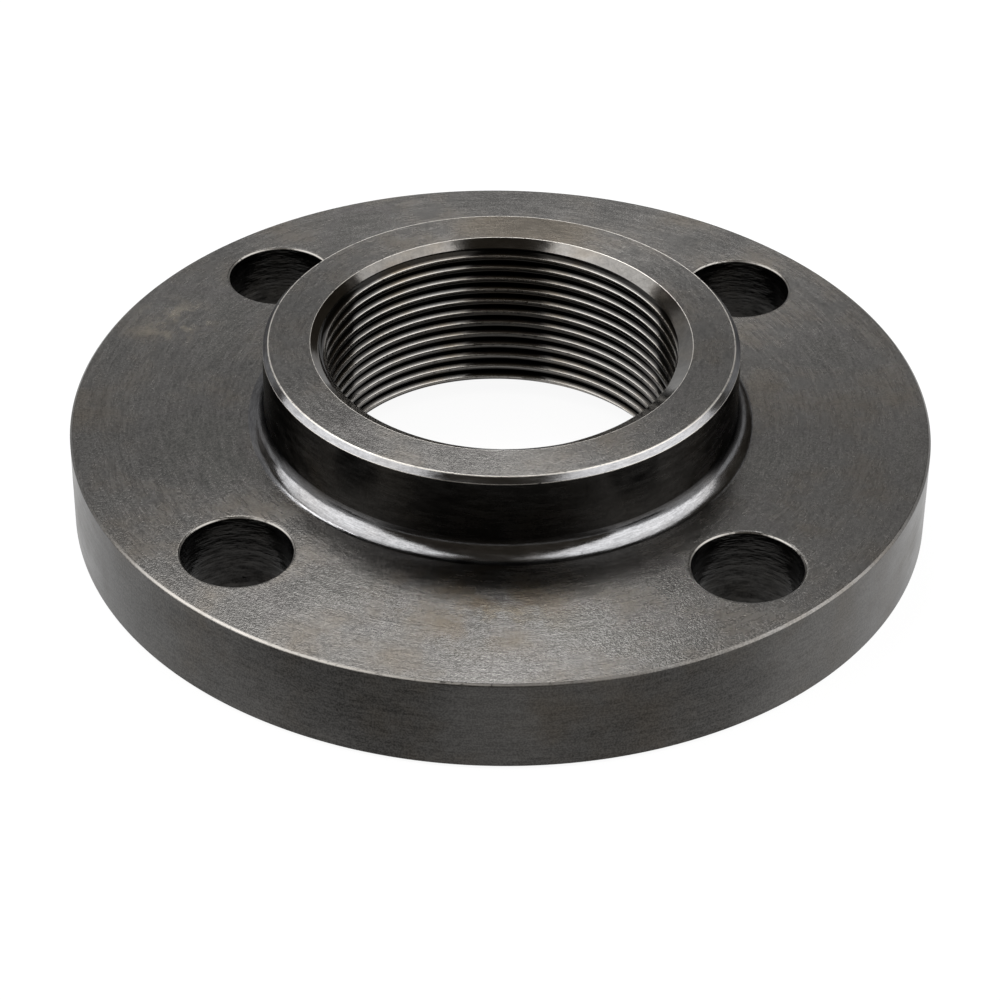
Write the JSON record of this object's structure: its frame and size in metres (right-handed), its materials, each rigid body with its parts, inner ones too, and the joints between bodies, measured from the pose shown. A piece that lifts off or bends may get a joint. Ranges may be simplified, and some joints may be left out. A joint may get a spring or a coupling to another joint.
{
  "type": "threaded flange",
  "caption": "Round steel pipe flange with a raised hub, an internally threaded bore open at both ends and bolt holes spaced round a flat plate.",
  "frame": {"origin": "centre of the flat gasket face, on the bore axis, at the lowest level of the part", "axes": "+Z along the bore axis from the gasket face to the hub face; the bolt holes lie at 45, 135, 225 and 315 degrees from +X"},
  "size_m": [0.14, 0.14, 0.0304],
  "materials": {
    "blackened_steel": "black oxide on turned steel, lightly oiled, with bare bright edges"
  },
  "bodies": {
    "root": {"threaded_flange": "blackened_steel"}
  },
  "joints": []
}
